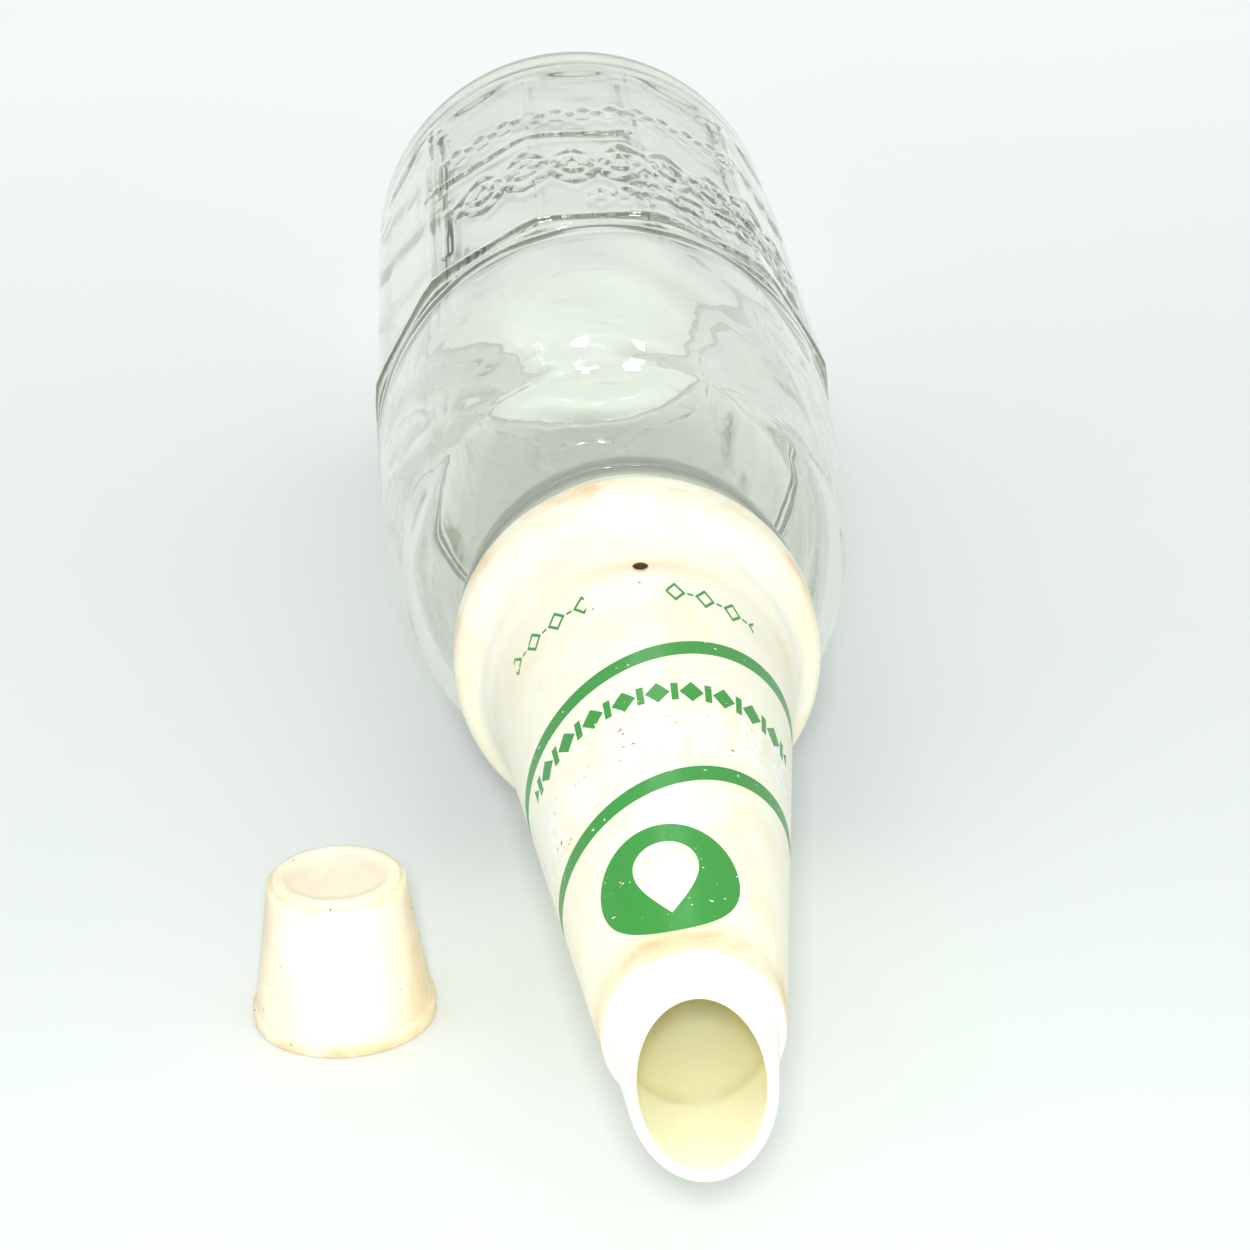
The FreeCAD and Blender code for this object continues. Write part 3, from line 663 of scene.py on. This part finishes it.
def printedPolyethylene():
    # the pourer: ivory plastic, screen-printed in green with two rings, rows of plain ornament and
    # a disc with an oil drop; the print is worn and the plastic is stained where oil has run
    material, tree, centred, made = agedPolyethylene("printedPolyethylene", axis)
    p = pourer
    addSteps(tree, made, [
        ("angle", "ARCTAN2", "x", "z"),
        ("xx", "MULTIPLY", "x", "x"), ("zz", "MULTIPLY", "z", "z"), ("rr", "ADD", "xx", "zz"),
        ("r", "SQRT", "rr"),
        # the way in from the cone's outer skin tells the bore from the outside
        ("skinRadius", "MULTIPLY_ADD", "y", p["skinTaper"], p["skinAtMouth"]),
        ("depth", "SUBTRACT", "skinRadius", "r"),
        ("inside", "GREATER_THAN", "depth", p["skinDepth"]),
        ("outside", "SUBTRACT", 1.0, "inside"),
        # two rings that lean
        ("skew", "MULTIPLY_ADD", "x", -ink["slope"], "y"),
        ("upper", "COMPARE", "skew", ink["upperRing"], ink["ringHalf"]),
        ("lower", "COMPARE", "skew", ink["lowerRing"], ink["ringHalf"]),
        # the disc, with a drop left blank whose point is towards the spout
        ("discTurn", "ADD", "angle", ink["discTurn"]),
        ("discAcross", "MULTIPLY", "discTurn", ink["discAcross"]),
        ("discFrom", "SUBTRACT", "y", ink["disc"]),
        ("discAlong", "DIVIDE", "discFrom", ink["discHalf"]),
        ("discA", "MULTIPLY", "discAcross", "discAcross"),
        ("discB", "MULTIPLY", "discAlong", "discAlong"),
        ("discSum", "ADD", "discA", "discB"), ("discIn", "LESS_THAN", "discSum", 1.0),
        ("dropPoint", "MULTIPLY_ADD", "discAlong", 1.5, 1.0),
        ("dropEnd", "SUBTRACT", 2.0, "dropPoint"), ("dropRoom", "MAXIMUM", "dropEnd", 0.0),
        ("dropRound", "SQRT", "dropRoom"), ("dropWide", "MULTIPLY", "dropPoint", "dropRound"),
        ("dropEdge", "MULTIPLY", "dropWide", ink["dropHalf"]),
        ("dropOff", "ABSOLUTE", "discAcross"), ("dropOut", "GREATER_THAN", "dropOff", "dropEdge"),
        ("disc", "MULTIPLY", "discIn", "dropOut"),
        # bold row under the upper ring: solid lozenges with a bar between each two
        ("boldRow", "MULTIPLY_ADD", "x", ink["boldSlope"], "y"),
        ("boldFrom", "SUBTRACT", "boldRow", ink["bold"]), ("boldOff", "ABSOLUTE", "boldFrom"),
        ("boldTall", "DIVIDE", "boldOff", ink["boldHalf"]),
        ("boldRound", "MULTIPLY", "angle", ink["boldRadius"]),
        ("boldCell", "WRAP", "boldRound", ink["boldCell"], -ink["boldCell"]),
        ("boldSide", "ABSOLUTE", "boldCell"), ("boldWide", "DIVIDE", "boldSide", ink["boldWide"]),
        ("boldSum", "ADD", "boldTall", "boldWide"), ("lozenge", "LESS_THAN", "boldSum", 1.0),
        ("barSide", "GREATER_THAN", "boldSide", ink["barFrom"]),
        ("barTall", "LESS_THAN", "boldTall", ink["barTall"]),
        ("bar", "MULTIPLY", "barSide", "barTall"), ("boldEither", "MAXIMUM", "lozenge", "bar"),
        ("boldAway", "ABSOLUTE", "angle"), ("boldNear", "LESS_THAN", "boldAway", ink["boldTurn"]),
        ("bold", "MULTIPLY", "boldEither", "boldNear"),
        # fine row near the flange: open lozenges and short dashes in two groups
        ("fineFrom", "SUBTRACT", "y", ink["fine"]), ("fineOff", "ABSOLUTE", "fineFrom"),
        ("fineTall", "DIVIDE", "fineOff", ink["fineHalf"]),
        ("fineRound", "MULTIPLY", "angle", ink["fineRadius"]),
        ("fineCell", "WRAP", "fineRound", ink["fineCell"], -ink["fineCell"]),
        ("fineSide", "ABSOLUTE", "fineCell"), ("fineWide", "DIVIDE", "fineSide", ink["fineWide"]),
        ("fineSum", "ADD", "fineTall", "fineWide"),
        ("open", "COMPARE", "fineSum", ink["openMiddle"], ink["openHalf"]),
        ("dashSide", "GREATER_THAN", "fineSide", ink["dashFrom"]),
        ("dashTall", "LESS_THAN", "fineOff", ink["dashHalf"]),
        ("dash", "MULTIPLY", "dashSide", "dashTall"), ("fineEither", "MAXIMUM", "open", "dash"),
        ("fineMiddle", "ADD", "angle", ink["fineTurn"]), ("fineAway", "ABSOLUTE", "fineMiddle"),
        ("fineNear", "COMPARE", "fineAway", ink["groupTurn"], ink["groupHalf"]),
        ("fine", "MULTIPLY", "fineEither", "fineNear"),
        # all ink, with small holes where it has flaked
        ("inkA", "MAXIMUM", "upper", "lower"), ("inkB", "MAXIMUM", "disc", "bold"),
        ("inkC", "MAXIMUM", "inkA", "inkB"), ("inkAll", "MAXIMUM", "inkC", "fine"),
        ("held", "LESS_THAN", "wear", ink["holds"]), ("inkHeld", "MULTIPLY", "inkAll", "held"),
        ("inkMask", "MULTIPLY", "inkHeld", "outside"),
        # print that has worn away: whiter patches in a row and in the fine row's gap
        ("wornFrom", "SUBTRACT", "skew", ink["worn"]), ("wornOff", "ABSOLUTE", "wornFrom"),
        ("wornRow", "LESS_THAN", "wornOff", ink["wornHalf"]),
        ("wornRound", "MULTIPLY", "angle", ink["wornRadius"]),
        ("wornCell", "WRAP", "wornRound", ink["wornCell"], -ink["wornCell"]),
        ("wornSide", "ABSOLUTE", "wornCell"),
        ("wornShape", "LESS_THAN", "wornSide", ink["wornWide"]),
        ("wornHeld", "LESS_THAN", "wear", ink["rubsOff"]),
        ("wornA", "MULTIPLY", "wornRow", "wornShape"), ("wornB", "MULTIPLY", "wornA", "wornHeld"),
        ("wornMask", "MULTIPLY", "wornB", ink["wornShare"]),
        ("gapNear", "LESS_THAN", "fineAway", ink["gapTurn"]),
        ("gapLow", "LESS_THAN", "fineOff", ink["gapHalf"]),
        ("gap", "MULTIPLY", "gapNear", "gapLow"),
        ("gapHeld", "MULTIPLY", "gap", "wornHeld"),
        ("gapMask", "MULTIPLY", "gapHeld", ink["wornShare"]),
        # a few red flecks are left there
        ("fleckSpot", "GREATER_THAN", "wear", ink["flecks"]),
        ("fleckLow", "LESS_THAN", "wornOff", ink["fleckHalf"]),
        ("fleckRow", "MAXIMUM", "gap", "fleckLow"),
        ("fleck", "MULTIPLY", "fleckRow", "fleckSpot"),
        ("fleckMask", "MULTIPLY", "fleck", "outside"),
        # oil stains, deep just above the cap seat and beside the vent
        ("seatFrom", "SUBTRACT", "y", ink["seatStain"]),
        ("seatA", "DIVIDE", "seatFrom", ink["seatSpread"]), ("seatB", "MULTIPLY", "seatA", "seatA"),
        ("seatC", "MULTIPLY", "seatB", -1.0), ("seatD", "EXPONENT", "seatC"),
        ("aboveSeat", "GREATER_THAN", "y", ink["tipFrom"]),
        ("seatE", "MULTIPLY", "seatD", "aboveSeat"),
        ("seatF", "MULTIPLY_ADD", "blotch", 2.2, -0.62), ("seatG", "MULTIPLY", "seatE", "seatF"),
        ("ventAcross", "MULTIPLY", "x", 0.1), ("ventA", "MULTIPLY", "ventAcross", "ventAcross"),
        ("ventFrom", "SUBTRACT", "y", ink["ventStain"]),
        ("ventAlong", "MULTIPLY", "ventFrom", 0.36),
        ("ventB", "MULTIPLY", "ventAlong", "ventAlong"), ("ventSum", "ADD", "ventA", "ventB"),
        ("ventC", "MULTIPLY", "ventSum", -1.0), ("ventD", "EXPONENT", "ventC"),
        ("onTop", "GREATER_THAN", "z", 0.0), ("ventE", "MULTIPLY", "ventD", "onTop"),
        ("ventF", "MULTIPLY", "ventE", 0.4), ("deepA", "MAXIMUM", "seatG", "ventF"),
        ("deep", "MULTIPLY", "deepA", "outside"),
        # and thin on the skirt and the cone, but not on the tip, which the cap covered
        ("skirtA", "MULTIPLY_ADD", "y", 0.14, -0.3), ("skirtB", "MAXIMUM", "skirtA", 0.28),
        ("skirtC", "MINIMUM", "skirtB", 1.0), ("stainA", "MULTIPLY_ADD", "blotch", 5.0, -2.4),
        ("stainB", "MAXIMUM", "stainA", 0.0), ("stainC", "MINIMUM", "stainB", 0.75),
        ("stainD", "MULTIPLY", "stainC", "skirtC"), ("tip", "LESS_THAN", "y", ink["tipFrom"]),
        ("notTip", "SUBTRACT", 1.0, "tip"), ("stainE", "MULTIPLY", "stainD", "notTip"),
        ("stain", "MULTIPLY", "stainE", "outside"),
        # the vent's bore is painted dark brown: painted shade in the narrow hole
        ("holeFrom", "SUBTRACT", "y", p["coneTop"]), ("holeA", "MULTIPLY", "holeFrom", "holeFrom"),
        ("holeB", "ADD", "holeA", "xx"), ("holeC", "LESS_THAN", "holeB", ink["holeSquare"]),
        ("hole", "MULTIPLY", "holeC", "onTop"),
        # ink lets no light through
        ("letsIn", "MULTIPLY_ADD", "inkMask", -plastic["pourerLetsIn"], plastic["pourerLetsIn"]),
    ])
    # the bore's colour is painted lighter than the outside, as painted light
    colour = addLayers(tree, made, linear(plastic["ivory"]), (
        ("tip", plastic["tip"]), ("inside", plastic["inside"]), ("stain", plastic["amber"]),
        ("wornMask", plastic["ghost"]), ("gapMask", plastic["ghost"]),
        ("deep", plastic["deepAmber"]), ("fleckMask", plastic["red"]),
        ("inkMask", plastic["green"]), ("hole", plastic["hole"])))
    finishPolyethylene(tree, centred, colour, made["letsIn"])
    return material


washer = {
    "outer": 24.0, "inner": 20.4, "thick": 2.0, "round": 0.35, "segments": 120,
    "dark": "#5F5C59", "light": "#6B6865", "grain": 0.4, "grainDepth": 0.05,
}


def makeWasher():
    w, r = washer, washer["round"]
    path = outline([
        (w["inner"], -r), (w["inner"] + r, 0, -r, 0.15),
        (w["outer"] - r, 0), (w["outer"], -r, -r, 0.15),
        (w["outer"], r - w["thick"]), (w["outer"] - r, -w["thick"], -r, 0.15),
        (w["inner"] + r, -w["thick"]), (w["inner"], r - w["thick"], -r, 0.15),
        (w["inner"], -r - 0.01),
    ], 0.8)
    angles = roundAngles(w["segments"])
    return skin("sealingRing", path[:, :1] + 0 * angles, path[:, 1:] + 0 * angles, angles, axis)


def nitrileRubber():
    # die-cut nitrile rubber sheet: dark, dull, with a faint grain, drawn 0.4 mm to show
    material, tree = newMaterial("nitrileRubber")
    place = addNode(tree, "ShaderNodeTexCoord")
    grain = addNode(tree, "ShaderNodeTexNoise", {}, {
        "Vector": place.outputs["Object"], "Scale": 1 / (washer["grain"] * mm)})
    shade = addNode(tree, "ShaderNodeMix", {"data_type": "RGBA"}, {
        "Factor": grain.outputs["Fac"], "A": linear(washer["dark"]), "B": linear(washer["light"])})
    bump = addNode(tree, "ShaderNodeBump", {}, {
        "Height": grain.outputs["Fac"], "Distance": washer["grainDepth"] * mm})
    body = addNode(tree, "ShaderNodeBsdfPrincipled", {}, {
        "Base Color": shade.outputs["Result"], "Roughness": 0.8, "Normal": bump.outputs["Normal"]})
    addNode(tree, "ShaderNodeOutputMaterial", {}, {"Surface": body.outputs[0]})
    return material


cap = {
    "rim": 15.1, "collar": 3.2, "step": 0.5, "crown": 11.3, "height": (capHigh.z - capLow.z) / mm,
    "round": 0.9, "bore": 12.3, "boreTop": 9.9, "roof": 1.7, "topDisc": 8.6, "discStep": 0.12,
    "oval": 0.0016, "lobed": 0.0009, "segments": 160,
    "rimStain": 0.75, "topStain": 0.4, "specks": 0.72,
}


def makeCap():
    c, r = cap, cap["round"]
    disc = c["height"] - c["discStep"]
    outer = outline([
        (c["bore"] + 0.3, 0), (c["rim"] - 0.5, 0), (c["rim"], 0.5, -0.5, 0.15),
        (c["rim"], c["collar"] - 0.3, 0, 0.6), (c["rim"] - 0.3, c["collar"], 0.3, 0.1),
        (c["rim"] - c["step"] - 0.05, c["collar"] + 0.05, 0, 0.1),
        (c["crown"] + 0.06, c["height"] - r, 0, 1.2), (c["crown"] - r, c["height"], 1.05, 0.2),
        (c["topDisc"], c["height"], 0, 0.5), (c["topDisc"] - 0.25, disc, 0, 0.1), (0, disc, 0, 1.2),
    ], 0.8)
    roof = c["height"] - c["roof"]
    inner = outline([
        (0, roof), (c["boreTop"] - 0.8, roof, 0, 1.5), (c["boreTop"], roof - 0.8, -0.8, 0.3),
        (c["bore"], 0.3, 0, 1.6), (c["bore"] + 0.3, 0, -0.3, 0.1),
    ], 1.0)
    path = np.concatenate([outer, inner[:-1]])
    angles = roundAngles(c["segments"])
    # moulded caps are never quite round
    wobble = 1 + c["oval"] * np.cos(2 * angles + 0.7) + c["lobed"] * np.cos(3 * angles)
    radius, along = path[:, :1] * wobble, path[:, 1:] + 0 * angles
    return skin("capShell", radius, along, angles, capAxis, upright=True)


def capPolyethylene():
    # the same plastic on the cap, with amber at the rim and the top edge and a few dark specks
    material, tree, centred, made = agedPolyethylene("capPolyethylene", capAxis)
    c = cap
    addSteps(tree, made, [
        ("rimA", "MULTIPLY_ADD", "z", -0.2, c["rimStain"]), ("rimB", "MAXIMUM", "rimA", 0.0),
        ("topA", "SUBTRACT", "z", c["height"] - 0.8), ("topB", "MULTIPLY", "topA", "topA"),
        ("topC", "MULTIPLY", "topB", -0.8), ("topD", "EXPONENT", "topC"),
        ("topE", "MULTIPLY", "topD", c["topStain"]),
        ("sideA", "MULTIPLY", "x", 0.05), ("sideB", "MULTIPLY", "sideA", "sideA"),
        ("edgeA", "MAXIMUM", "rimB", "topE"), ("edge", "MAXIMUM", "edgeA", "sideB"),
        ("patchA", "MULTIPLY_ADD", "blotch", 2.4, -0.7), ("patchB", "MAXIMUM", "patchA", 0.15),
        ("patchC", "MULTIPLY", "patchB", 1.5), ("stain", "MULTIPLY", "edge", "patchC"),
        ("speck", "GREATER_THAN", "wear", c["specks"]),
    ])
    colour = addLayers(tree, made, linear(plastic["ivory"]), (
        ("stain", plastic["deepAmber"]), ("speck", plastic["speck"])))
    finishPolyethylene(tree, centred, colour, plastic["capLetsIn"])
    return material


makeRoom()
print("room ready")
glassMaterial = sodaLimeGlass()
bottle = makeGlass()
addRaisedRows(bottle, glassMaterial)
print("glass ready", len(bottle.data.polygons))
spout = makePourer()
ring = makeWasher()
stopper = makeCap()
print("plastic ready", len(spout.data.polygons), len(stopper.data.polygons))

fitted = (
    (bottle, "glass_bottle", "bottle", "glass", glassMaterial),
    (spout, "pourer", "pourer", "pourer_plastic", printedPolyethylene()),
    (ring, "sealing_washer", "washer", "washer_rubber", nitrileRubber()),
    (stopper, "cap", "cap", "cap_plastic", capPolyethylene()),
)
for piece, node, body, slotName, material in fitted:
    piece.data.materials.clear()
    piece.data.materials.append(material)
    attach(piece, body)
    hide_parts(node)
print("materials ready")
